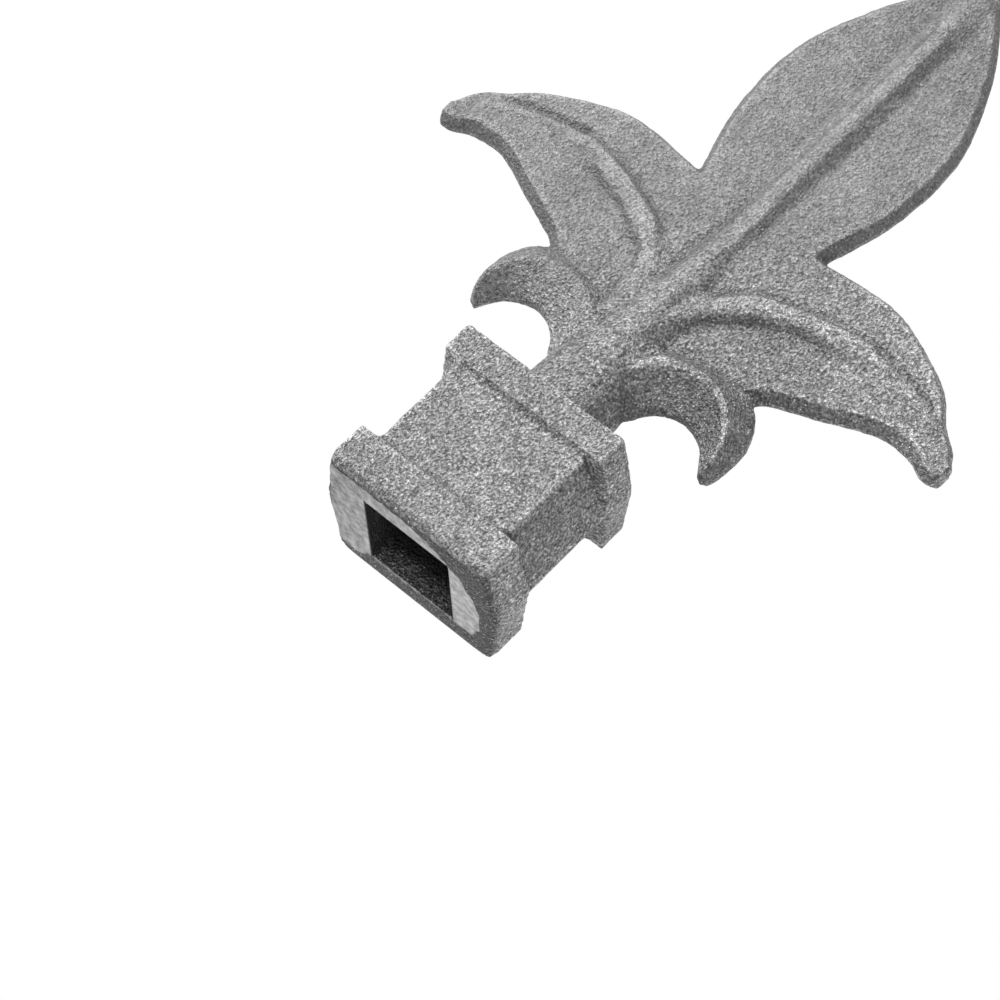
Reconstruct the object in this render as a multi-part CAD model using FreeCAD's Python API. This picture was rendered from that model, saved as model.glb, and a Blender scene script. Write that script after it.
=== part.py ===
"""Cast-iron railing spear finial: a fleur-de-lis head on a square socket.

One casting.  The frame has +Z up along the spear, X across the leaves and
-Y towards the front.  The origin is the centre of the ground end face of the
socket, at the mouth of the hole that the railing bar goes into.
All sizes are in millimetres.
"""
import FreeCAD, Part
import math
import os

# Overall
total_height = 110.0
leaf_reach = 40.2

# Socket
hole_side = 13.0
hole_depth = 19.0
socket_height = 24.4
lower_collar_height = 5.9
upper_collar_height = 4.2
collar_half_depth = 10.5
collar_half_width = 12.0
waist_half_depth = 9.7
waist_half_width = 9.4
parting_half_width = 13.4
parting_step = 0.4
waist_flare = 0.8
block_corner_radius = 1.6
waist_corner_radius = 1.0
collar_rim_radius = 0.6
mouth_rim_radius = 0.35

# Stem: a round neck that narrows to a wedge-shaped rib up the whole spear
neck_radius = 6.1
rib_half_width = 2.8
rib_half_depth = 2.9
tip_half_width = 0.5

# Drafted edges of the leaves and the blade: the faces end a little inside the
# outline that the stations give, and the parting line runs outside it
edge_inset = 0.35
edge_swell = 0.70
parting_half_thickness = 0.3

# Centre blade
blade_base = 63.3
blade_half_width = 12.8
blade_notch_half_width = 9.4
blade_edge_half_thickness = 1.55
blade_root_depth = 7.0
blade_crown = 0.15
blade_groove_depth = 0.25

# Side leaves, each with a rib that fades towards the tip and a groove above it
leaf_root = 40.0
leaf_rise = 23.4
leaf_edge_half_thickness = 1.95
leaf_rib_half_depth = 3.25
leaf_outer_half_depth = 2.40
leaf_rib_upper_flank = 1.5
leaf_rib_lower_flank = 2.3
leaf_groove_width = 0.9
leaf_groove_depth = 0.55
leaf_rib_fade_start = 0.40
leaf_rib_fade_length = 0.20

# Hooks, each bent round a round eye beside the neck
hook_eye_x = 12.2
hook_eye_z = 29.8
hook_eye_radius = 5.7
hook_crest_half_depth = 4.3
hook_inner_half_thickness = 0.6
hook_outer_half_thickness = 0.9

# Highest degree of the lofted skins
loft_degree = 3

# Stem cuts from the top of the neck to the tip: share of the way up from the
# leaf root to the top, how much of the neck is left in the cut, and the rib's
# half width and half depth as shares of its own.
stem_stations = [
    (-0.100, 0.86, 1.15, 1.22),
    (-0.043, 0.64, 1.15, 1.25),
    (0.014, 0.46, 1.15, 1.25),
    (0.071, 0.34, 1.18, 1.20),
    (0.114, 0.22, 1.16, 1.16),
    (0.160, 0.09, 1.08, 1.08),
    (0.229, 0.00, 1.02, 1.02),
    (0.357, 0.00, 1.00, 1.00),
    (0.629, 0.00, 1.00, 1.00),
    (0.820, 0.00, 0.98, 0.98),
    (0.880, 0.00, 1.10, 0.98),
    (0.920, 0.00, 1.08, 0.88),
    (0.965, 0.00, 0.70, 0.62),
    (0.986, 0.00, 0.42, 0.40),
]

# Corners of the stem's cut on its front: angle in degrees on the round neck,
# then place across the rib and height up its flank as shares.
stem_corners = [
    (10, -1.00, 0.00),
    (30, -0.84, 0.26),
    (50, -0.56, 0.62),
    (70, -0.24, 0.92),
    (90, 0.00, 1.00),
    (110, 0.24, 0.92),
    (130, 0.56, 0.62),
    (150, 0.84, 0.26),
    (170, 1.00, 0.00),
]

# Blade cuts from below its base to the tip: share of its length, share of its
# widest half width, share of its edge thickness.
blade_stations = [
    (0.08, 0.82, 1.22),
    (0.20, 0.94, 1.10),
    (0.37, 1.00, 1.00),
    (0.50, 0.96, 0.97),
    (0.62, 0.82, 0.97),
    (0.74, 0.625, 0.97),
    (0.85, 0.375, 0.97),
    (0.94, 0.185, 0.85),
]

# Leaf cuts from the neck to the tip: the lower and upper end of each cut as
# shares of the leaf's reach and rise, the place of the groove above the rib
# between them, and the share of the full depth.
leaf_stations = [
    (0.190, -0.10, 0.035, 0.02, 0.90, 1.00),
    (0.298, 0.065, 0.045, 0.41, 0.865, 1.00),
    (0.361, 0.12, 0.050, 0.73, 0.705, 1.00),
    (0.405, 0.155, 0.112, 0.945, 0.620, 1.00),
    (0.460, 0.22, 0.287, 0.975, 0.630, 1.00),
    (0.535, 0.27, 0.423, 1.00, 0.640, 0.98),
    (0.622, 0.335, 0.548, 0.993, 0.650, 0.94),
    (0.709, 0.400, 0.677, 0.912, 0.645, 0.90),
    (0.786, 0.435, 0.800, 0.800, 0.680, 0.87),
    (0.858, 0.430, 0.861, 0.695, 0.735, 0.84),
    (0.921, 0.393, 0.925, 0.582, 0.78, 0.78),
    (0.970, 0.370, 0.975, 0.498, 0.80, 0.68),
    (0.994, 0.378, 1.000, 0.455, 0.80, 0.56),
]

# The leaf rib's flanks: place from the crest and rise above the leaf's face,
# as shares of the flank's width and of the rib's height.
leaf_lower_flank = [(1.00, 0.00), (0.85, 0.42), (0.50, 0.86)]
leaf_upper_flank = [(0.50, 0.80), (0.85, 0.20)]

# Hook cuts from the neck round to the point: angle in degrees at the eye's
# centre, then the inner edge, the crest and the outer edge as shares of the
# eye's radius, and the share of the full depth.
hook_stations = [
    (176, 1.40, 1.72, 2.15, 1.00),
    (155, 1.00, 1.75, 2.30, 1.00),
    (135, 1.00, 1.84, 2.42, 1.00),
    (112, 1.00, 1.86, 2.42, 1.00),
    (92, 1.00, 1.80, 2.42, 1.00),
    (76, 0.99, 1.72, 2.42, 0.98),
    (64, 0.98, 1.62, 2.30, 0.95),
    (47, 0.98, 1.49, 1.97, 0.88),
    (31, 0.98, 1.36, 1.63, 0.76),
    (20, 1.01, 1.25, 1.39, 0.60),
    (13, 1.04, 1.16, 1.25, 0.42),
    (10, 1.07, 1.12, 1.17, 0.28),
]


def point(x, y, z):
    """Short name for a place in the casting's frame."""
    return FreeCAD.Vector(x, y, z)


def mirrored(shape):
    """The same shape on the other side of the spear."""
    return shape.mirror(point(0, 0, 0), point(1, 0, 0))


def two_sided_section(start, toward, profile):
    """Closed section in the plane that holds start, toward and the Y direction.

    profile lists (distance from start, half depth) along the line from start
    to toward, the same on the front and on the back.
    """
    along = toward.sub(start).normalize()
    front = []
    back = []
    for distance, half_depth in profile:
        foot = start + along * distance
        front.append(foot - point(0, half_depth, 0))
        back.append(foot + point(0, half_depth, 0))
    corners = front + back[::-1]
    return Part.makePolygon(corners + corners[:1])


def with_drafted_edges(profile):
    """Profile whose ends are moved in and joined to the parting line outside them."""
    width = profile[-1][0]
    inset = min(edge_inset, 0.10 * width)
    swell = min(edge_swell, 0.25 * width)
    edge = profile[0][1]
    parting = min(parting_half_thickness, 0.5 * edge)
    left = [(-swell, parting), (inset, edge)]
    right = [(width - inset, edge), (width + swell, parting)]
    return left + profile[1:-1] + right


def skinned(sections):
    """Solid through a row of sections, smooth from one to the next."""
    return Part.makeLoft(sections, True, False, False, loft_degree)


def corner_arc(before, corner, after, radius):
    """Arc that rounds one corner of an outline."""
    back = before.sub(corner).normalize()
    ahead = after.sub(corner).normalize()
    half_angle = 0.5 * back.getAngle(ahead)
    bisector = (back + ahead).normalize()
    start = corner + back * (radius / math.tan(half_angle))
    end = corner + ahead * (radius / math.tan(half_angle))
    middle = corner + bisector * (radius / math.sin(half_angle) - radius)
    return Part.Arc(start, middle, end).toShape()


def drafted_section(half_width, half_depth, side_half_width, radius, height):
    """Level outline with a flat front and back, sides that meet at the parting line and round corners."""
    corners = [
        point(side_half_width, 0, height),
        point(half_width, half_depth, height),
        point(-half_width, half_depth, height),
        point(-side_half_width, 0, height),
        point(-half_width, -half_depth, height),
        point(half_width, -half_depth, height),
    ]
    edges = []
    here = corners[0]
    for index in range(1, 7):
        corner = corners[index % 6]
        if index in (3, 6):
            edges.append(Part.makeLine(here, corner))
            here = corner
        else:
            arc = corner_arc(corners[index - 1], corner, corners[(index + 1) % 6], radius)
            edges.append(Part.makeLine(here, arc.Vertexes[0].Point))
            edges.append(arc)
            here = arc.Vertexes[-1].Point
    return Part.Wire(edges)


def edges_at(block, height):
    """Edges that lie level at one height."""
    found = []
    for edge in block.Edges:
        if all(abs(vertex.Z - height) < 1e-4 for vertex in edge.Vertexes):
            found.append(edge)
    return found


def collar(bottom, top, rim, rim_radius):
    """One collar with rounded corners and a rounded rim at its free end."""
    radius = block_corner_radius
    outline = drafted_section(collar_half_width, collar_half_depth, parting_half_width, radius, bottom)
    block = Part.Face(outline).extrude(point(0, 0, top - bottom))
    return block.makeFillet(rim_radius, edges_at(block, rim))


def waist():
    """Recessed middle of the socket, flared a little where it meets the collars."""
    low = lower_collar_height
    high = socket_height - upper_collar_height
    inset = collar_half_depth - waist_half_depth
    inside_collar = 0.1
    levels = [
        (low - waist_flare, inside_collar),
        (low + waist_flare, 1.0),
        (high - waist_flare, 1.0),
        (high + waist_flare, inside_collar),
    ]
    sections = []
    for height, share in levels:
        half_width = collar_half_width + share * (waist_half_width - collar_half_width)
        half_depth = collar_half_depth - share * inset
        side = parting_half_width - share * parting_step
        sections.append(drafted_section(half_width, half_depth, side, waist_corner_radius, height))
    return Part.makeLoft(sections, True, True)


def socket():
    """Two collars with the waist between them, before the hole is cut."""
    lower = collar(0.0, lower_collar_height, 0.0, mouth_rim_radius)
    upper = collar(socket_height - upper_collar_height, socket_height, socket_height, collar_rim_radius)
    return lower.fuse([waist(), upper])


def bar_hole():
    """Blind square hole that opens at the ground end face."""
    below = 1.0
    corner = point(-0.5 * hole_side, -0.5 * hole_side, -below)
    return Part.makeBox(hole_side, hole_side, hole_depth + below, corner)


def stem_section(height, neck_share, width_share, depth_share):
    """Cut through the stem, round in the neck and wedge-shaped above it."""
    half_width = width_share * rib_half_width
    crest = depth_share * rib_half_depth
    low = min(0.85 * blade_edge_half_thickness, 0.6 * crest)
    rib_share = 1.0 - neck_share
    profile = []
    for angle, place, rise in stem_corners:
        round_x = -neck_radius * math.cos(math.radians(angle))
        round_depth = neck_radius * math.sin(math.radians(angle))
        x = neck_share * round_x + rib_share * place * half_width
        depth = neck_share * round_depth + rib_share * (low + rise * (crest - low))
        profile.append((x, depth))
    return two_sided_section(point(0, 0, height), point(1, 0, height), profile)


def stem():
    """Neck, rib and blunt tip in one skin."""
    length = total_height - leaf_root
    foot = 0.5 * (hole_depth + socket_height)
    sections = [
        stem_section(foot, 1.0, 1.0, 1.0),
        stem_section(0.5 * (foot + hook_eye_z), 1.0, 1.0, 1.0),
        stem_section(hook_eye_z - 0.08 * neck_radius, 1.0, 1.0, 1.0),
    ]
    for share, neck_share, width_share, depth_share in stem_stations:
        sections.append(stem_section(leaf_root + share * length, neck_share, width_share, depth_share))
    blunt_width = tip_half_width / rib_half_width
    blunt_depth = tip_half_width / rib_half_depth
    sections.append(stem_section(total_height, 0.0, blunt_width, blunt_depth))
    return skinned(sections)


def blade():
    """Ovate centre blade with crowned faces, a groove beside the rib and a plain edge wall."""
    length = total_height - blade_base
    edge = blade_edge_half_thickness
    cuts = [
        (blade_base - blade_root_depth, 0.75 * blade_notch_half_width, 1.05 * edge),
        (blade_base - 0.43 * blade_root_depth, 0.95 * blade_notch_half_width, 1.15 * edge),
        (blade_base, blade_notch_half_width, 1.24 * edge),
    ]
    for share, width_share, edge_share in blade_stations:
        cuts.append((blade_base + share * length, width_share * blade_half_width, edge_share * edge))
    cuts.append((total_height - tip_half_width, tip_half_width, 0.3 * tip_half_width))
    sections = []
    for height, half_width, half_thickness in cuts:
        valley = min(rib_half_width, 0.3 * half_width)
        face = half_width - valley
        crown = blade_crown if height > blade_base else 0.0
        groove = half_thickness - min(blade_groove_depth, 0.3 * half_thickness)
        left = [
            (0.0, half_thickness),
            (0.45 * face, half_thickness + crown),
            (face - 0.3 * valley, half_thickness),
            (face + 0.1 * valley, groove),
        ]
        right = [(2 * half_width - place, depth) for place, depth in left[::-1]]
        profile = left + [(half_width, groove)] + right
        start = point(-half_width, 0, height)
        sections.append(two_sided_section(start, point(0, 0, height), with_drafted_edges(profile)))
    return skinned(sections)


def leaf():
    """Right side leaf with its rib and groove, from inside the neck to the blunt tip."""
    sections = []
    for low_x, low_z, high_x, high_z, groove_place, depth_share in leaf_stations:
        start = point(low_x * leaf_reach, 0, leaf_root + low_z * leaf_rise)
        end = point(high_x * leaf_reach, 0, leaf_root + high_z * leaf_rise)
        width = end.sub(start).Length
        groove = groove_place * width
        upper = min(leaf_rib_upper_flank, 0.25 * groove)
        lower = min(leaf_rib_lower_flank, 0.45 * groove)
        crest = groove - upper
        fade = min(max((high_x - leaf_rib_fade_start) / leaf_rib_fade_length, 0.0), 1.0)
        edge = leaf_edge_half_thickness * min(1.0, 0.2 + depth_share)
        rib_depth = leaf_rib_half_depth + fade * (leaf_outer_half_depth - leaf_rib_half_depth)
        top = max(rib_depth * depth_share, 1.05 * edge)
        beyond = groove + min(leaf_groove_width, 0.4 * (width - groove))
        profile = [(0.0, edge), (0.5 * (crest - lower), edge)]
        for place, rise in leaf_lower_flank:
            profile.append((crest - place * lower, edge + rise * (top - edge)))
        profile.append((crest, top))
        for place, rise in leaf_upper_flank:
            profile.append((crest + place * upper, edge + rise * (top - edge)))
        profile.append((groove, edge - leaf_groove_depth * depth_share))
        profile.append((beyond, edge))
        profile.append((width, edge))
        sections.append(two_sided_section(start, end, with_drafted_edges(profile)))
    return skinned(sections)


def hook():
    """Right hook, bent round its eye from inside the neck to the point."""
    centre = point(hook_eye_x, 0, hook_eye_z)
    sections = []
    for angle, inner_share, crest_share, outer_share, depth_share in hook_stations:
        direction = point(math.cos(math.radians(angle)), 0, math.sin(math.radians(angle)))
        inner = inner_share * hook_eye_radius
        crest = crest_share * hook_eye_radius - inner
        width = outer_share * hook_eye_radius - inner
        inner_edge = hook_inner_half_thickness * depth_share
        outer_edge = hook_outer_half_thickness * depth_share
        top = hook_crest_half_depth * depth_share
        profile = [
            (0.0, inner_edge),
            (0.45 * crest, inner_edge + 0.52 * (top - inner_edge)),
            (0.9 * crest, inner_edge + 0.96 * (top - inner_edge)),
            (crest, top),
            (0.88 * crest + 0.12 * width, outer_edge + 0.90 * (top - outer_edge)),
            (0.5 * (crest + width), outer_edge + 0.45 * (top - outer_edge)),
            (width, outer_edge),
        ]
        start = centre + direction * inner
        sections.append(two_sided_section(start, start + direction, profile))
    return skinned(sections)


def finial():
    """The whole casting as one solid."""
    right_leaf = leaf()
    right_hook = hook()
    head = [stem(), blade(), right_leaf, mirrored(right_leaf), right_hook, mirrored(right_hook)]
    return socket().fuse(head).cut(bar_hole())


os.makedirs("parts", exist_ok=True)
casting = finial()
print("valid", casting.isValid(), "solids", len(casting.Solids), "volume", round(casting.Volume, 1))
casting.Solids[0].exportStep("parts/finial_casting.step")
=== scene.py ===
"""Looks of a cast-iron railing spear finial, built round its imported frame.

The casting is remeshed from the frame's solid, softened and roughened as a
shot-blasted sand casting is, and given one iron finish with a ground end face.
Sizes are in metres, or in millimetres where a comment says so.
"""
import math

import bmesh
import bpy
from bpy.props import FloatProperty, FloatVectorProperty, IntProperty, PointerProperty
from mathutils import Matrix, Vector


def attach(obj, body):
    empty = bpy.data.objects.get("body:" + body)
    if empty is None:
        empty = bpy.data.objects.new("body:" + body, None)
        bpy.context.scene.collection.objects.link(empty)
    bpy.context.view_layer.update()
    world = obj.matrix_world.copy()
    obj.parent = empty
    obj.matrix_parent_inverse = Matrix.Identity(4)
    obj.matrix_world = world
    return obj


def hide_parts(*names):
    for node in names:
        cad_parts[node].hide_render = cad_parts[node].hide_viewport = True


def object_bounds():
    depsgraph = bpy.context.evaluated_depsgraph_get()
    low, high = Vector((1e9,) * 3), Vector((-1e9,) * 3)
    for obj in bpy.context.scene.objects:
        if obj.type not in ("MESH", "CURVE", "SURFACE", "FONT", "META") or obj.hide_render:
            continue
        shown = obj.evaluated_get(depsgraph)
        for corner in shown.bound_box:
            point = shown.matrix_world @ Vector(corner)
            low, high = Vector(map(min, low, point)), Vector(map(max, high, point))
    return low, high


bl_info = {
    "name": "Railing spear finial",
    "version": (1, 0, 0),
    "blender": (4, 5, 0),
    "location": "View3D > Sidebar > Finial",
    "description": "Dresses the packed casting of a railing spear finial",
    "category": "Object",
}

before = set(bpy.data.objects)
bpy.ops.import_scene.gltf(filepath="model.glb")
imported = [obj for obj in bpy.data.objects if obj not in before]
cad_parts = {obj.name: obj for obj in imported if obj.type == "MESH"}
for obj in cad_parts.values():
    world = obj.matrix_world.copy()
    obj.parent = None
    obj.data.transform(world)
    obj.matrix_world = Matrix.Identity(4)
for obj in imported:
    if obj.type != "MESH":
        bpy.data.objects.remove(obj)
CAD_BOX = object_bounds()
CASTING = "finial_casting"
MM = 0.001

# Upright corners of the socket: half width, half depth and radius of the collars' corners and of
# the waist's, between which heights the waist lies, the socket's top, and its half width at the
# parting line, all in millimetres. A point of a corner is drawn out if it lies further than this
# share of the radius from the corner's own middle, across or along.
COLLAR_CORNER = (12.0, 10.5, 1.6)
WAIST_CORNER = (9.4, 9.7, 1.0)
WAIST_SPAN = (6.7, 19.4)
SOCKET_TOP = 24.4
PARTING_HALF_WIDTH = 13.4
CORNER_SHARE = 0.5

# How far the socket's right front edge lies further right than in the frame, at the collars and at
# the waist. The shift starts at a place across and a place along the depth, grows outwards and
# forwards over so much width and depth, and takes in the skin just above the socket's top. All in
# millimetres.
EDGE_SHIFT = (0.5, 0.9)
SHIFT_START = (5.0, 6.0)
SHIFT_GROWTH = (4.0, 14.0)
SHIFT_MARGIN = 0.3

# The head starts to lean at the first height and leans in full so much higher, in millimetres
LEAN_START = 25.0
LEAN_GROWTH = 6.0

# A point lies in a valley where its neighbours' middle is so many millimetres further out
VALLEY_DEPTH = 0.006

# Soft lines on both faces of the leaves, in millimetres on the right leaf seen from the front:
# places along the line, its width, and how deep it is pressed in (raised where negative). All of
# them lie further out and higher than the place named first.
LEAF_LINES_START = (15.0, 40.0)
LEAF_LINES = (
    (((24.0, 57.8), (29.0, 56.8), (32.0, 55.9), (35.0, 54.3), (37.2, 52.7), (38.9, 50.5)), 0.85, 0.42),
    (((26.0, 55.6), (29.5, 54.8), (33.0, 53.4), (36.0, 51.5), (38.0, 49.9)), 0.9, -0.34),
    (((20.5, 55.0), (23.5, 54.9), (26.5, 54.6)), 0.6, 0.20),
)

# Soft lines that the casting has on one side only, in the same way but with left places negative.
# All of them lie nearer to the middle and higher than the two places named first.
SIDE_LINES_END = 28.0
SIDE_LINES_FOOT = 38.0
RIGHT_RIB_LINE = (
    (13.6, 52.4), (11.1, 50.9), (8.6, 48.9), (6.6, 47.2), (4.8, 45.2), (4.0, 43.4), (3.5, 41.0))
LEFT_RIB_LINE = ((-14.0, 52.4), (-10.5, 50.5), (-7.8, 49.1), (-6.6, 47.4), (-5.2, 45.0), (-4.4, 41.4))
SIDE_LINES = (
    (RIGHT_RIB_LINE, 0.9, 0.32),
    (((12.0, 47.5), (17.0, 50.0), (22.0, 51.0)), 2.5, 0.25),
    (((6.5, 42.0), (10.0, 42.6), (14.0, 42.3), (17.0, 41.0)), 1.2, 0.28),
    (LEFT_RIB_LINE, 0.4, 0.16),
    (((-2.8, 46.5), (-2.7, 54.0), (-2.0, 60.0), (-1.5, 70.0), (-1.2, 98.0)), 0.6, 0.26),
)

# Where the two sides differ as cast: a line seen from the front, how far the skin there is pulled
# to the right and up, and how far round the line the pull reaches, all in millimetres. A pull has
# died away at so many times its reach.
PULL_END = 3.0
PULLS = (
    (((-9.6, 52.1), (-9.4, 51.9)), (-0.8, -1.1), 4.0),
    (((9.4, 51.9), (9.6, 52.1)), (0.6, -0.8), 4.0),
    (((-7.2, 45.6), (-7.2, 45.4)), (-0.9, 0.0), 2.5),
    (((4.8, 45.5), (4.8, 42.0)), (-1.6, 0.0), 2.6),
    (((-37.6, 54.0), (-37.4, 54.0)), (-0.4, 1.0), 2.8),
    (((0.0, 57.0), (0.0, 97.0)), (0.5, 0.0), 1.3),
)

# Bends and valleys that the mould left soft: rounds of smoothing, how far to each side the
# softening reaches, and places along the middle seen from the front, in millimetres. A softened
# point lies no further than this from the first of its places.
BEND_LENGTH = 16.0
SOFT_BENDS = (
    (16, 1.5, ((7.0, 53.2), (5.6, 51.0), (4.6, 48.4))),
    (16, 1.5, ((-7.0, 53.2), (-5.6, 51.0), (-4.6, 48.4))),
    (16, 1.5, ((-14.0, 52.8), (-11.0, 51.2), (-8.8, 48.6), (-7.5, 45.5))),
    (90, 1.8, ((3.7, 48.6), (2.7, 46.4), (2.2, 44.0), (2.1, 41.6), (2.5, 38.6))),
    (90, 1.4, ((-6.0, 52.0), (-4.6, 50.7), (-3.5, 49.2), (-3.2, 47.2), (-3.3, 45.0))),
    (40, 1.8, ((-14.0, 40.3), (-10.0, 41.0), (-7.0, 39.8), (-5.0, 37.2), (-4.2, 35.0))),
)

# Middles, seen from the front, of the hooks' eyes and of a patch of painted shade on the right leaf
HOOK_EYE = (12.5 * MM, 34.0 * MM)
PAINTED_SHADE_PATCH = (15.0 * MM, 45.0 * MM)

# Where one look of the iron fades into the next, each from its first place to its second: up the
# casting, away from a middle, from left to right, or, for the calm grain, up and to the left
SOCKET_FADE = (24.5 * MM, 25.5 * MM)
MOUTH_FADE = (2.5 * MM, 3.5 * MM)
LEFT_SIDE_FADE = (-9.5 * MM, -8.5 * MM)
LEFT_HALF_FADE = (-5.0 * MM, -3.0 * MM)
HOOK_TOP_FADE = (41.5 * MM, 43.5 * MM)
EYE_FADE = (6.5 * MM, 9.5 * MM)
PATCH_FADE = (5.0 * MM, 13.0 * MM)
CALM_FADE = (32.0 * MM, 70.0 * MM)
TIP_FADE = (86.0 * MM, 100.0 * MM)

# The ground part of the end face: its middle, its reach across and along, and where at the left
# the strip at the back begins that stayed rough. Further right it begins a step further forward.
GROUND_MIDDLE = (-1.5 * MM, 1.5 * MM)
GROUND_REACH = (12.8 * MM, 10.9 * MM)
BACK_BORDER = 8.1 * MM
BACK_BORDER_STEP = 1.5 * MM

# Floor: its radius and how far it lies under the casting
FLOOR_RADIUS = 2.5
FLOOR_GAP = 0.02 * MM

# Lamps: direction from the middle of the casting, distance and size in metres, power in watts
LAMPS = {
    "key": ((-0.95, -1.0, 0.25), 1.1, 0.30, 12.4),
    "right": ((1.0, -0.30, -0.35), 1.1, 0.45, 1.9),
    "top": ((-0.25, 0.10, 1.0), 1.2, 0.9, 3.0),
    "back": ((-0.35, 1.0, 0.45), 1.2, 0.7, 4.0),
}


class FinialCastingSizes(bpy.types.PropertyGroup):
    """Sizes of the casting's skin."""

    mesh_size: FloatProperty(
        name="Mesh size", description="Width of the skin's faces",
        default=0.362 * MM, unit="LENGTH", precision=5)
    edge_softening: FloatProperty(
        name="Edge softening", description="How far smoothing pulls each point towards its neighbours",
        default=0.5, min=0.0, max=1.0)
    valley_softening: IntProperty(
        name="Valley softening", description="Rounds of smoothing in the valleys beside the ribs",
        default=3, min=0)
    bend_softening: FloatProperty(
        name="Bend softening", description="How far smoothing pulls each point in the soft bends",
        default=0.5, min=0.0, max=1.0)
    rim_softening: IntProperty(
        name="Rim softening", description="Rounds of smoothing on the rim of the ground end face",
        default=30, min=0)
    rim_width: FloatProperty(
        name="Rim width", description="How wide the softened rim is",
        default=1.4 * MM, unit="LENGTH", precision=5)
    corner_sharpness: FloatProperty(
        name="Corner sharpness", description="How far the socket's round upright corners are drawn out",
        default=0.75, min=0.0, max=1.0)
    relief_rounds: IntProperty(
        name="Relief rounds", description="Rounds of smoothing that the relief is measured against",
        default=40, min=1)
    head_skew: FloatProperty(
        name="Head skew", description="How far the cast head leans down for each length to the right",
        default=0.025)
    skew_reach: FloatProperty(
        name="Skew reach", description="How far out from the middle the lean has faded away",
        default=48.0 * MM, unit="LENGTH", precision=5)
    skin: FloatProperty(
        name="Skin", description="How far the rough skin stands out from the smoothed solid",
        default=0.08 * MM, unit="LENGTH", precision=5)
    lump_width: FloatProperty(
        name="Lump width", description="Width of the low swells left by the sand mould",
        default=3.2 * MM, unit="LENGTH", precision=5)
    lump_height: FloatProperty(
        name="Lump height", description="Height of the swells",
        default=0.18 * MM, unit="LENGTH", precision=5)
    grain_width: FloatProperty(
        name="Grain width", description="Width of the cast grain that shows on the outline",
        default=0.75 * MM, unit="LENGTH", precision=5)
    grain_height: FloatProperty(
        name="Grain height", description="Height of the cast grain",
        default=0.12 * MM, unit="LENGTH", precision=5)
    hole_side: FloatProperty(
        name="Hole side", description="Width of the square hole for the bar",
        default=13.0 * MM, unit="LENGTH", precision=5)
    hole_depth: FloatProperty(
        name="Hole depth", description="Depth of the square hole",
        default=19.0 * MM, unit="LENGTH", precision=5)


class FinialIronFinish(bpy.types.PropertyGroup):
    """Colours and grain of the iron."""

    cast_grey: FloatVectorProperty(
        name="Cast grey", description="Colour of the blasted faces",
        default=(0.385, 0.385, 0.385), size=3, subtype="COLOR", min=0.0, max=1.0)
    # Slope grey is painted shade: a darker copy of the cast grey that slopes get instead of it
    slope_shade_grey: FloatVectorProperty(
        name="Slope shade grey", description="Colour of slopes and edge walls, darkened as painted shade",
        default=(0.25, 0.25, 0.25), size=3, subtype="COLOR", min=0.0, max=1.0)
    ground_grey: FloatVectorProperty(
        name="Ground grey", description="Colour of the ground end face",
        default=(0.42, 0.42, 0.42), size=3, subtype="COLOR", min=0.0, max=1.0)
    # Glint grey is the colour of painted glints
    painted_glint_grey: FloatVectorProperty(
        name="Painted glint grey", description="Colour of the painted glints in the blasted skin",
        default=(0.85, 0.85, 0.85), size=3, subtype="COLOR", min=0.0, max=1.0)
    # Hole shade grey is painted shade deep in the hole
    hole_shade_grey: FloatVectorProperty(
        name="Hole shade grey", description="Colour of the painted shade deep in the hole",
        default=(0.045, 0.045, 0.045), size=3, subtype="COLOR", min=0.0, max=1.0)
    grain_size: FloatProperty(
        name="Grain size", description="Width of one grain of the blasted skin",
        default=0.38 * MM, unit="LENGTH", precision=5)
    grain_contrast: FloatProperty(
        name="Grain contrast", description="How much darker and brighter the grains are than the skin",
        default=2.2, min=0.0)


class FinialStageSettings(bpy.types.PropertyGroup):
    """Camera and light."""

    camera_place: FloatVectorProperty(
        name="Camera place", description="Where the photograph was taken from",
        default=(0.17308, -0.40899, -0.14911), size=3, subtype="TRANSLATION", unit="LENGTH", precision=5)
    camera_turn: FloatVectorProperty(
        name="Camera turn", description="How the camera is turned, about X, Y and Z",
        default=(math.radians(117.661), math.radians(-42.236), math.radians(3.225)),
        size=3, subtype="EULER")
    lens: FloatProperty(
        name="Lens", description="Focal length in millimetres on a sensor 36 mm wide", default=144.03)
    floor_white: FloatProperty(
        name="Floor white", description="How pale the floor is", default=0.82, min=0.0, max=1.0)
    fill: FloatProperty(
        name="Fill", description="Strength of the soft light from all round", default=0.60, min=0.0)


class FinialSettings(bpy.types.PropertyGroup):
    """All settings of the finial."""

    casting: PointerProperty(type=FinialCastingSizes)
    iron: PointerProperty(type=FinialIronFinish)
    stage: PointerProperty(type=FinialStageSettings)


class Wire:
    """An output socket that adds its own maths nodes."""

    def __init__(self, finish, socket):
        self.finish = finish
        self.socket = socket

    def maths(self, operation, first, second=0.0):
        return self.finish.node("ShaderNodeMath", {"operation": operation}, {0: first, 1: second})

    def __add__(self, other):
        return self.maths("ADD", self, other)

    def __radd__(self, other):
        return self.maths("ADD", other, self)

    def __sub__(self, other):
        return self.maths("SUBTRACT", self, other)

    def __rsub__(self, other):
        return self.maths("SUBTRACT", other, self)

    def __mul__(self, other):
        return self.maths("MULTIPLY", self, other)

    def __rmul__(self, other):
        return self.maths("MULTIPLY", other, self)

    def __truediv__(self, other):
        return self.maths("DIVIDE", self, other)

    def __pow__(self, other):
        return self.maths("POWER", self, other)

    def __rpow__(self, other):
        return self.maths("POWER", other, self)

    def magnitude(self):
        return self.maths("ABSOLUTE", self)

    def at_least(self, other):
        return self.maths("MAXIMUM", self, other)

    def step(self, start, end):
        """Smooth step from 0 at start to 1 at end."""
        settings = {"interpolation_type": "SMOOTHSTEP"}
        places = {"Value": self, "From Min": start, "From Max": end}
        return self.finish.node("ShaderNodeMapRange", settings, places)


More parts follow.
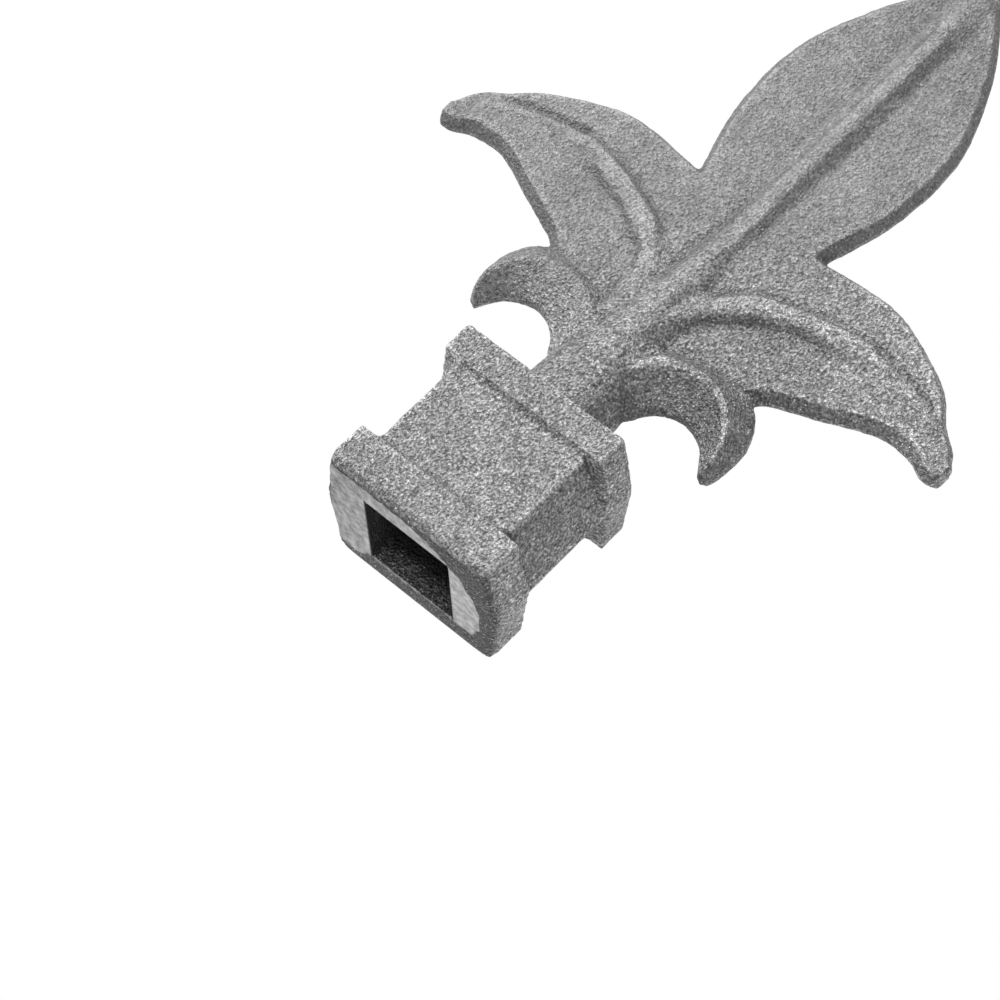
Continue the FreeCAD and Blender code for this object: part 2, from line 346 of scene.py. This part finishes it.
class Finish:
    """A node tree of one finish, and the one method that adds nodes to it."""

    def __init__(self, tree):
        self.tree = tree
        tree.nodes.clear()

    def node(self, kind, settings, places, output=0):
        """Adds a node, its settings first, then the values or wires of its sockets."""
        made = self.tree.nodes.new(kind)
        for name, value in settings.items():
            setattr(made, name, value)
        for place, value in places.items():
            if isinstance(value, Wire):
                self.tree.links.new(value.socket, made.inputs[place])
            else:
                made.inputs[place].default_value = value
        return Wire(self, made.outputs[output])

    def end(self, kind, places):
        """Adds an output node, which has no sockets of its own to pass on."""
        made = self.tree.nodes.new(kind)
        for place, wire in places.items():
            self.tree.links.new(wire.socket, made.inputs[place])

    def scaled(self, colour, share):
        """Colour made darker or brighter."""
        return self.node("ShaderNodeVectorMath", {"operation": "SCALE"}, {0: colour, "Scale": share})

    def mixed(self, share, first, second):
        """Colour between two colours."""
        settings = {"data_type": "RGBA"}
        return self.node("ShaderNodeMix", settings, {0: share, 6: first, 7: second}, 2)

    def noise(self, places, width, detail=2.0, roughness=0.5):
        """Noise whose swells are about as wide as width."""
        settings = {"noise_dimensions": "3D"}
        sockets = {"Vector": places, "Scale": 1.0 / width, "Detail": detail, "Roughness": roughness}
        return self.node("ShaderNodeTexNoise", settings, sockets)


def new_material(name):
    material = bpy.data.materials.new(name)
    material.use_nodes = True
    return material, Finish(material.node_tree)


def iron_finish(iron, casting):
    """Bare blasted cast iron with a ground end face and a dark hole, with painted light and shade on the
    skin and painted shade in the hole.
    """
    material, finish = new_material("cast_iron")
    places = finish.node("ShaderNodeTexCoord", {}, {}, "Object")
    x = finish.node("ShaderNodeSeparateXYZ", {}, {0: places}, "X")
    y = finish.node("ShaderNodeSeparateXYZ", {}, {0: places}, "Y")
    z = finish.node("ShaderNodeSeparateXYZ", {}, {0: places}, "Z")
    size = iron.grain_size

    # Grain of the blasted skin, calmer towards the blade's tip and on the left leaf
    grain_distance, grain_pick = grain_cells(finish, places, size)
    fine = finish.noise(places, 0.95 * size, detail=1.5, roughness=0.65) - 0.5
    middling = finish.noise(places, 2.2 * size, detail=1.0) - 0.5
    broad = finish.noise(places, 6.0 * size, detail=1.0) - 0.5
    patches = finish.noise(places, 22.0 * size, detail=2.0) - 0.5
    calm = 1.0 - 0.52 * (z - x).step(*CALM_FADE)
    grains = (grain_pick - 0.5) + 1.1 * (0.45 - grain_distance)
    # Painted glints: bright specks painted into the colour, also smoother and more metallic
    painted_glints = speckles(finish, places, 0.9 * size, 0.64, 0.46) * calm
    pits = speckles(finish, places, 1.6 * size, 0.60, 0.34) * calm

    # Painted light and shade by which way the skin faces: faces turned to the front get the cast grey,
    # slopes the darker slope grey as painted shade, while walls, the socket's undersides near the mouth
    # and on the left, and the left hook's downward faces keep the lit grey as painted light; crests are
    # marked for a painted highlight, partly edge wear
    normal = finish.node("ShaderNodeTexCoord", {}, {}, "Normal")
    facing = finish.node("ShaderNodeSeparateXYZ", {}, {0: normal}, "Y").magnitude()
    relief = finish.node("ShaderNodeAttribute", {"attribute_name": "relief"}, {}, "Fac")
    socket = 1.0 - z.step(*SOCKET_FADE)
    raised = relief.step(0.04 + 0.09 * socket, 0.16 + 0.12 * socket)
    crest = raised * facing.step(0.70 - 0.40 * socket, 0.92 - 0.30 * socket)
    valley = 1.0 - relief.step(-0.16, -0.03)
    closeness = finish.node("ShaderNodeAmbientOcclusion", {"samples": 8}, {"Distance": 3.0 * MM}, "AO")
    from_eye = ((x.magnitude() - HOOK_EYE[0]) ** 2.0 + (z - HOOK_EYE[1]) ** 2.0) ** 0.5
    left = 1.0 - x.step(*LEFT_HALF_FADE)
    left_hook = left * (1.0 - socket) * (1.0 - z.step(*HOOK_TOP_FADE))
    edgewise = 1.0 - facing.step(0.15, 0.45)
    wall = edgewise * from_eye.step(*EYE_FADE).at_least(left_hook)
    upwards = finish.node("ShaderNodeSeparateXYZ", {}, {0: normal}, "Z")
    at_mouth = 1.0 - z.step(*MOUTH_FADE)
    left_side = 1.0 - x.step(*LEFT_SIDE_FADE)
    underside = (1.0 - upwards.step(-0.75, -0.30)) * socket * at_mouth.at_least(left_side)
    painted_lit_share = facing.step(0.76, 0.96).at_least(crest).at_least(wall).at_least(underside)
    painted_lit_share = painted_lit_share.at_least(left_hook * (1.0 - upwards.step(-0.20, 0.10)))
    eye_wall = edgewise * (1.0 - wall) * (1.0 - left) * (1.0 - socket)

    # The ground part of the end face: its right border is curved, its back strip stayed rough
    wander = (finish.noise(places, 1.5 * MM) - 0.5) * (1.2 * MM)
    across = (x - GROUND_MIDDLE[0]).at_least(0.0) / GROUND_REACH[0]
    along = (y - GROUND_MIDDLE[1]) / GROUND_REACH[1]
    round_part = 1.0 - (across * across + along * along) + wander / (6.0 * MM)
    back_border = BACK_BORDER - BACK_BORDER_STEP * (x + wander).step(-9.0 * MM, -7.0 * MM)
    rough_back = (y + wander - back_border).step(-0.2 * MM, 0.4 * MM)
    at_end = 1.0 - z.step(0.05 * MM, 0.18 * MM)
    ground = round_part.step(0.0, 0.04) * (1.0 - rough_back) * at_end
    turned = {"Vector": places, "Rotation": (0.0, 0.0, 0.6), "Scale": (1.0, 4.0, 1.0)}
    scratches = finish.noise(finish.node("ShaderNodeMapping", {}, turned), 1.4 * MM, detail=3.0) - 0.5

    # The hole gets darker inwards as painted shade, and its deep part and side walls turn to the hole
    # shade grey as painted shade
    half = 0.5 * casting.hole_side
    in_width = 1.0 - x.magnitude().step(half + 0.05 * MM, half + 0.3 * MM)
    in_depth = 1.0 - y.magnitude().step(half + 0.05 * MM, half + 0.3 * MM)
    below_floor = 1.0 - z.step(casting.hole_depth + 0.1 * MM, casting.hole_depth + 0.6 * MM)
    inside = in_width * in_depth * below_floor
    hole = inside * (0.70 + 0.30 * z.step(0.5 * MM, 4.0 * MM))
    side_walls = x.magnitude().step(half - 0.4 * MM, half - 0.05 * MM)
    painted_hole_shade = inside * (z + 2.5 * wander).step(1.0 * MM, 3.8 * MM).at_least(side_walls)

    # Colour of the cast skin and of the ground face
    swing = iron.grain_contrast * (0.40 * grains + 2.4 * fine) + 1.2 * middling
    tone = 2.0 ** (calm * (1.0 + 0.4 * wall) * swing + 0.8 * broad + 0.7 * patches)
    # Lit grey on faces turned to the front, painted shade grey on slopes
    grey = finish.mixed(painted_lit_share, (*iron.slope_shade_grey, 1.0), (*iron.cast_grey, 1.0))
    # Painted shade in hollows, from ambient occlusion and from the valleys of the relief, stronger on the
    # socket's walls
    shade = (0.48 + 0.34 * socket * wall) * (1.0 - closeness.step(0.25, 0.92))
    painted_hollow_shade = (1.0 - shade) * (1.0 - 0.25 * valley)
    # Painted light and shade, partly edge wear: crests brighter as painted highlight and edge wear except
    # on the left hook, the socket's undersides and the left hook's lit faces brighter as painted light,
    # the inner walls of the right hook's eye darker as painted shade, and all darker where the grain is
    # calmer
    painted_light_and_wear = 1.0 + (0.30 + 0.15 * socket) * crest * (1.0 - left_hook) + 0.45 * underside
    painted_light_and_wear = painted_light_and_wear * (1.0 - 0.60 * (1.0 - calm)) * (1.0 - 0.30 * eye_wall)
    painted_light_and_wear = painted_light_and_wear * (1.0 + 0.08 * left_hook * painted_lit_share)
    # Painted shade on a patch of the right leaf between its rib and the right hook, and darker towards
    # the blade's tip
    from_patch = ((x - PAINTED_SHADE_PATCH[0]) ** 2.0 + (z - PAINTED_SHADE_PATCH[1]) ** 2.0) ** 0.5
    painted_shade_and_darker_tip = 1.0 - 0.20 * (1.0 - from_patch.step(*PATCH_FADE)) - 0.12 * z.step(*TIP_FADE)
    brightness = painted_shade_and_darker_tip * tone * painted_hollow_shade * painted_light_and_wear * (1.0 - 0.40 * pits) * (1.0 - 0.75 * hole)
    cast = finish.scaled(grey, brightness)
    # Painted glints mixed into the colour, stronger in the hole
    cast = finish.mixed(painted_glints * (0.68 + 0.25 * inside), cast, (*iron.painted_glint_grey, 1.0))
    # The ground face's grinding marks and mottling, and a painted reflection that brightens it towards
    # the right
    wear_and_painted_sheen = 1.0 + 0.5 * scratches + 1.5 * middling + 1.2 * broad
    wear_and_painted_sheen = wear_and_painted_sheen + 0.8 * fine + 0.6 * patches + 0.016 / MM * x
    smooth = finish.scaled(tuple(iron.ground_grey), wear_and_painted_sheen)
    colour = finish.mixed(ground, cast, smooth)

    # Gloss and bumps, and the painted shade of the hole on top
    roughness = 0.58 - 0.16 * painted_glints - 0.10 * ground + 0.10 * pits
    metallic = 0.08 + 0.30 * ground + 0.35 * painted_glints
    rise = calm * (1.1 * grains + 4.4 * fine + 1.3 * middling) + 0.2 * painted_glints - 0.35 * pits
    height = rise * (1.0 - 0.96 * ground) + 0.03 * ground * scratches
    bump = finish.node("ShaderNodeBump", {}, {"Strength": 1.0, "Distance": 0.30 * MM, "Height": height})
    sockets = {"Base Color": colour, "Roughness": roughness, "Metallic": metallic, "Normal": bump}
    bare = finish.node("ShaderNodeBsdfPrincipled", {}, sockets)
    hole_shade_bsdf = finish.node("ShaderNodeBsdfDiffuse", {}, {"Color": (*iron.hole_shade_grey, 1.0), "Normal": bump})
    surface = finish.node("ShaderNodeMixShader", {}, {0: 0.92 * painted_hole_shade, 1: bare, 2: hole_shade_bsdf})
    finish.end("ShaderNodeOutputMaterial", {"Surface": surface})
    return material


def grain_cells(finish, places, spacing):
    """Distance from the middle of the nearest grain, and a number drawn at random for each grain."""
    settings = {"feature": "F1", "voronoi_dimensions": "3D"}
    sockets = {"Vector": places, "Scale": 1.0 / spacing}
    distance = finish.node("ShaderNodeTexVoronoi", settings, sockets, "Distance")
    cell = finish.node("ShaderNodeTexVoronoi", settings, sockets, "Color")
    return distance, finish.node("ShaderNodeSeparateColor", {}, {0: cell}, 0)


def speckles(finish, places, spacing, share_left_out, radius):
    """Small round spots, each in a cell that is picked at random."""
    distance, pick = grain_cells(finish, places, spacing)
    return pick.step(share_left_out, share_left_out + 0.25) * (1.0 - distance.step(0.4 * radius, radius))


def floor_finish(white):
    """Pale floor that shows from above only, because the photograph looks up from below it."""
    material, finish = new_material("pale_floor")
    camera_ray = finish.node("ShaderNodeLightPath", {}, {}, "Is Camera Ray")
    back = finish.node("ShaderNodeNewGeometry", {}, {}, "Backfacing")
    clear = finish.node("ShaderNodeBsdfTransparent", {}, {})
    pale = finish.node("ShaderNodeBsdfDiffuse", {}, {"Color": (white, white, white, 1.0)})
    shown = finish.node("ShaderNodeMixShader", {}, {0: camera_ray * (1.0 - back), 1: clear, 2: pale})
    finish.end("ShaderNodeOutputMaterial", {"Surface": shown})
    return material


def pick_only(thing):
    """Selects one object and makes it the active one."""
    bpy.ops.object.select_all(action="DESELECT")
    thing.select_set(True)
    bpy.context.view_layer.objects.active = thing


def apply_modifier(thing, kind, name, settings):
    """Adds a modifier, sets it and applies it."""
    modifier = thing.modifiers.new(name, kind)
    for key, value in settings.items():
        setattr(modifier, key, value)
    pick_only(thing)
    bpy.ops.object.modifier_apply(modifier=name)


def add_group(thing, name, points):
    """Adds a vertex group of the given points and gives its name back."""
    group = thing.vertex_groups.new(name=name)
    group.add(points, 1.0, "REPLACE")
    return group.name


def valley_points(piece):
    """Indices of the points that lie lower than the middle of their neighbours, as in a valley."""
    mesh = bmesh.new()
    mesh.from_mesh(piece.data)
    found = []
    for point in mesh.verts:
        around = [edge.other_vert(point).co for edge in point.link_edges]
        middle = sum(around, Vector()) / len(around)
        if (middle - point.co).dot(point.normal) > VALLEY_DEPTH * MM:
            found.append(point.index)
    mesh.free()
    return found


def distance_to_line(place, line):
    """How far a place lies from the line through the given places, seen from the front."""
    nearest = math.inf
    for start, end in zip(line, line[1:]):
        start, run = Vector(start), Vector(end) - Vector(start)
        share = min(max((place - start).dot(run) / run.length_squared, 0.0), 1.0)
        nearest = min(nearest, (place - start - share * run).length)
    return nearest


def front_place(point, mirrored=True):
    """Place seen from the front in millimetres, on the right half if it is mirrored."""
    across = abs(point.co.x) if mirrored else point.co.x
    return Vector((across, point.co.z)) / MM


def press(point, away, depth):
    """Presses a point of either face inwards, by no more than half of its way to the middle."""
    moved = min(depth * MM * math.exp(-away * away), 0.5 * abs(point.co.y))
    point.co.y -= math.copysign(moved, point.co.y)


def press_leaf_lines(piece):
    """Presses the soft lines into both faces of both leaves."""
    for point in piece.data.vertices:
        place = front_place(point)
        if place.x < LEAF_LINES_START[0] or point.co.z < LEAF_LINES_START[1] * MM:
            continue
        for line, width, depth in LEAF_LINES:
            press(point, distance_to_line(place, line) / width, depth)


def press_side_lines(piece):
    """Presses in the soft lines that only one side has."""
    for point in piece.data.vertices:
        place = front_place(point, mirrored=False)
        if abs(place.x) > SIDE_LINES_END or place.y < SIDE_LINES_FOOT:
            continue
        for line, width, depth in SIDE_LINES:
            press(point, distance_to_line(place, line) / width, depth)


def pull_ribs(piece):
    """Pulls the ribs and the left leaf's tip to where the casting has them."""
    for point in piece.data.vertices:
        place = front_place(point, mirrored=False)
        for line, shift, reach in PULLS:
            away = distance_to_line(place, line) / reach
            if away < PULL_END:
                point.co.x += shift[0] * MM * math.exp(-away * away)
                point.co.z += shift[1] * MM * math.exp(-away * away)


def lean_head(piece, skew, reach):
    """Leans the head a little down to the right, less and less towards the leaves' tips."""
    for point in piece.data.vertices:
        share = min(max((point.co.z - LEAN_START * MM) / (LEAN_GROWTH * MM), 0.0), 1.0)
        point.co.z -= skew * share * point.co.x * (1.0 - (point.co.x / reach) ** 2)
    piece.data.update()


def crisp_corners(piece, share):
    """Draws the round upright corners of the socket out towards the sharper ones of the casting."""
    for point in piece.data.vertices:
        half_width, half_depth, radius = COLLAR_CORNER
        if WAIST_SPAN[0] < point.co.z / MM < WAIST_SPAN[1]:
            half_width, half_depth, radius = WAIST_CORNER
        if point.co.z > SOCKET_TOP * MM:
            continue
        across = abs(point.co.x) / MM - (half_width - radius)
        along = abs(point.co.y) / MM - (half_depth - radius)
        if min(across, along) > 0.0 and max(across, along) > CORNER_SHARE * radius:
            grown = (math.hypot(across, along) / max(across, along)) ** share
            point.co.x = math.copysign((half_width - radius + grown * across) * MM, point.co.x)
            point.co.y = math.copysign((half_depth - radius + grown * along) * MM, point.co.y)


def shift_front_edge(piece):
    """Moves the socket's right front edge outwards, without its parting line and its back."""
    for point in piece.data.vertices:
        x, y, z = point.co / MM
        if x > SHIFT_START[0] and y < SHIFT_START[1] and z < SOCKET_TOP + SHIFT_MARGIN:
            shift = EDGE_SHIFT[1] if WAIST_SPAN[0] < z < WAIST_SPAN[1] else EDGE_SHIFT[0]
            outwards = min((x - SHIFT_START[0]) / SHIFT_GROWTH[0], 1.0)
            forwards = min((SHIFT_START[1] - y) / SHIFT_GROWTH[1], 1.0)
            point.co.x += shift * MM * outwards * forwards


def mark_relief(piece, rounds):
    """Stores how many millimetres each point stands out from a smoothed copy of the skin."""
    calm = piece.copy()
    calm.data = piece.data.copy()
    bpy.context.scene.collection.objects.link(calm)
    apply_modifier(calm, "SMOOTH", "calm", {"factor": 0.5, "iterations": rounds})
    relief = piece.data.attributes.new("relief", "FLOAT", "POINT")
    for mark, point, calm_point in zip(relief.data, piece.data.vertices, calm.data.vertices):
        mark.value = (point.co - calm_point.co).dot(point.normal) / MM
    bpy.data.objects.remove(calm)


def bend_points(piece, line, width):
    """Indices of the points beside a soft bend."""
    found = []
    for point in piece.data.vertices:
        place = front_place(point, mirrored=False)
        if (place - Vector(line[0])).length < BEND_LENGTH and distance_to_line(place, line) < width:
            found.append(point.index)
    return found


def rim_points(piece, width):
    """Indices of the points on the outer rim of the ground end face."""
    low, high = CAD_BOX
    half_width = PARTING_HALF_WIDTH * MM
    found = []
    for point in piece.data.vertices:
        inwards = min(half_width - abs(point.co.x), high.y - abs(point.co.y))
        if point.co.z < low.z + width and inwards < width:
            found.append(point.index)
    return found


def rough_points(piece):
    """Indices of the points that the grinding of the end face has not reached."""
    ground_height = CAD_BOX[0].z + 0.4 * MM
    return [point.index for point in piece.data.vertices if point.co.z > ground_height]


class FINIAL_OT_casting(bpy.types.Operator):
    """Make the casting's rough skin from the frame's solid"""

    bl_idname = "finial.casting"
    bl_label = "Casting"
    bl_options = {"REGISTER", "UNDO"}

    def execute(self, context):
        sizes = context.scene.finial.casting
        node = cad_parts[CASTING]
        piece = bpy.data.objects.new("finial", node.data.copy())
        context.scene.collection.objects.link(piece)
        pick_only(piece)
        bpy.ops.object.mode_set(mode="EDIT")
        bpy.ops.mesh.select_all(action="SELECT")
        bpy.ops.mesh.remove_doubles(threshold=0.001 * MM)
        bpy.ops.mesh.normals_make_consistent(inside=False)
        bpy.ops.object.mode_set(mode="OBJECT")
        apply_modifier(piece, "REMESH", "skin", {"mode": "VOXEL", "voxel_size": sizes.mesh_size})
        apply_modifier(piece, "SMOOTH", "soften", {"factor": sizes.edge_softening, "iterations": 1})
        valleys = add_group(piece, "valleys", valley_points(piece))
        settings = {"factor": 0.5, "iterations": sizes.valley_softening, "vertex_group": valleys}
        apply_modifier(piece, "SMOOTH", "fill valleys", settings)
        rim = add_group(piece, "rim", rim_points(piece, sizes.rim_width))
        settings = {"factor": 0.5, "iterations": sizes.rim_softening, "vertex_group": rim}
        apply_modifier(piece, "SMOOTH", "round rim", settings)
        press_leaf_lines(piece)
        pull_ribs(piece)
        for rounds, width, line in SOFT_BENDS:
            bend = add_group(piece, "bend", bend_points(piece, line, width))
            settings = {"factor": sizes.bend_softening, "iterations": rounds, "vertex_group": bend}
            apply_modifier(piece, "SMOOTH", "soften bend", settings)
        press_side_lines(piece)
        crisp_corners(piece, sizes.corner_sharpness)
        shift_front_edge(piece)
        mark_relief(piece, sizes.relief_rounds)
        lean_head(piece, sizes.head_skew, sizes.skew_reach)

        rough = add_group(piece, "rough", rough_points(piece))
        settings = {"strength": sizes.skin, "mid_level": 0.0, "vertex_group": rough}
        apply_modifier(piece, "DISPLACE", "stand out", settings)
        for name, width, height in (
            ("lumps", sizes.lump_width, sizes.lump_height),
            ("grain", sizes.grain_width, sizes.grain_height),
        ):
            texture = bpy.data.textures.new(name, "CLOUDS")
            texture.noise_scale = width
            texture.noise_depth = 1
            settings = {
                "texture": texture,
                "texture_coords": "LOCAL",
                "strength": height,
                "mid_level": 0.5,
                "vertex_group": rough,
            }
            apply_modifier(piece, "DISPLACE", name, settings)
        piece.vertex_groups.clear()
        keep_in_box(piece)
        pick_only(piece)
        bpy.ops.object.shade_smooth()
        piece.data.materials.clear()
        piece.data.materials.append(iron_finish(context.scene.finial.iron, sizes))
        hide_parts(CASTING)
        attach(piece, "root")
        return {"FINISHED"}


def keep_in_box(piece):
    """Brings points that the grain pushed out of the frame's box back onto it."""
    low, high = CAD_BOX
    for point in piece.data.vertices:
        point.co = Vector(min(max(point.co[i], low[i]), high[i]) for i in range(3))
    piece.data.update()


class FINIAL_OT_stage(bpy.types.Operator):
    """Add the floor, the lamps, the world and the camera"""

    bl_idname = "finial.stage"
    bl_label = "Stage"
    bl_options = {"REGISTER", "UNDO"}

    def execute(self, context):
        stage = context.scene.finial.stage
        bpy.ops.mesh.primitive_circle_add(
            vertices=96, radius=FLOOR_RADIUS, fill_type="NGON", location=(0, 0, 0))
        floor = context.active_object
        floor.name = "floor"
        floor.data.name = "floor"
        floor.data.transform(Matrix.Translation((0, 0, CAD_BOX[0].z - FLOOR_GAP)))
        floor.data.materials.append(floor_finish(stage.floor_white))

        middle = 0.5 * (CAD_BOX[0] + CAD_BOX[1])
        for name, (direction, distance, size, power) in LAMPS.items():
            add_lamp(name, middle, Vector(direction), distance, size, power)
        make_world(context, stage.fill)

        camera_data = bpy.data.cameras.new("camera")
        camera_data.sensor_fit = "HORIZONTAL"
        camera_data.sensor_width = 36.0
        camera_data.lens = stage.lens
        camera_data.clip_start = 0.01
        camera = bpy.data.objects.new("camera", camera_data)
        camera.location = stage.camera_place
        camera.rotation_euler = stage.camera_turn
        context.scene.collection.objects.link(camera)
        context.scene.camera = camera
        context.scene.view_settings.view_transform = "Standard"
        return {"FINISHED"}


def add_lamp(name, target, direction, distance, size, power):
    """Soft square lamp that faces the target from one direction."""
    data = bpy.data.lights.new(name, "AREA")
    data.shape = "SQUARE"
    data.size = size
    data.energy = power
    lamp = bpy.data.objects.new(name, data)
    lamp.location = target + direction.normalized() * distance
    lamp.rotation_euler = direction.to_track_quat("Z", "Y").to_euler()
    lamp.visible_camera = False
    bpy.context.scene.collection.objects.link(lamp)


def make_world(context, fill):
    """White where the camera and reflections look, and a soft fill everywhere else."""
    world = bpy.data.worlds.new("studio")
    world.use_nodes = True
    context.scene.world = world
    finish = Finish(world.node_tree)
    camera_ray = finish.node("ShaderNodeLightPath", {}, {}, "Is Camera Ray")
    glossy_ray = finish.node("ShaderNodeLightPath", {}, {}, "Is Glossy Ray")
    clear_ray = finish.node("ShaderNodeLightPath", {}, {}, "Is Transmission Ray")
    white = finish.node("ShaderNodeBackground", {}, {"Color": (1.0, 1.0, 1.0, 1.0), "Strength": 1.0})
    soft = finish.node("ShaderNodeBackground", {}, {"Color": (1.0, 1.0, 1.0, 1.0), "Strength": fill})
    seen = camera_ray.at_least(glossy_ray).at_least(clear_ray)
    mixed = finish.node("ShaderNodeMixShader", {}, {0: seen, 1: soft, 2: white})
    finish.end("ShaderNodeOutputWorld", {"Surface": mixed})


class FINIAL_PT_panel(bpy.types.Panel):
    """Lists the finial's pieces and settings"""

    bl_idname = "FINIAL_PT_panel"
    bl_label = "Railing spear finial"
    bl_space_type = "VIEW_3D"
    bl_region_type = "UI"
    bl_category = "Finial"

    def draw(self, context):
        settings = context.scene.finial
        for operator, group in (
            (FINIAL_OT_casting, settings.casting),
            (FINIAL_OT_stage, settings.stage),
        ):
            self.layout.operator(operator.bl_idname)
            for name in group.__annotations__:
                self.layout.prop(group, name)
        for name in settings.iron.__annotations__:
            self.layout.prop(settings.iron, name)


CLASSES = (
    FinialCastingSizes,
    FinialIronFinish,
    FinialStageSettings,
    FinialSettings,
    FINIAL_OT_casting,
    FINIAL_OT_stage,
    FINIAL_PT_panel,
)


def register():
    for item in CLASSES:
        bpy.utils.register_class(item)
    bpy.types.Scene.finial = PointerProperty(type=FinialSettings)


def unregister():
    del bpy.types.Scene.finial
    for item in reversed(CLASSES):
        bpy.utils.unregister_class(item)


def main():
    register()
    bpy.ops.finial.casting()
    bpy.ops.finial.stage()


if __name__ == "__main__":
    main()
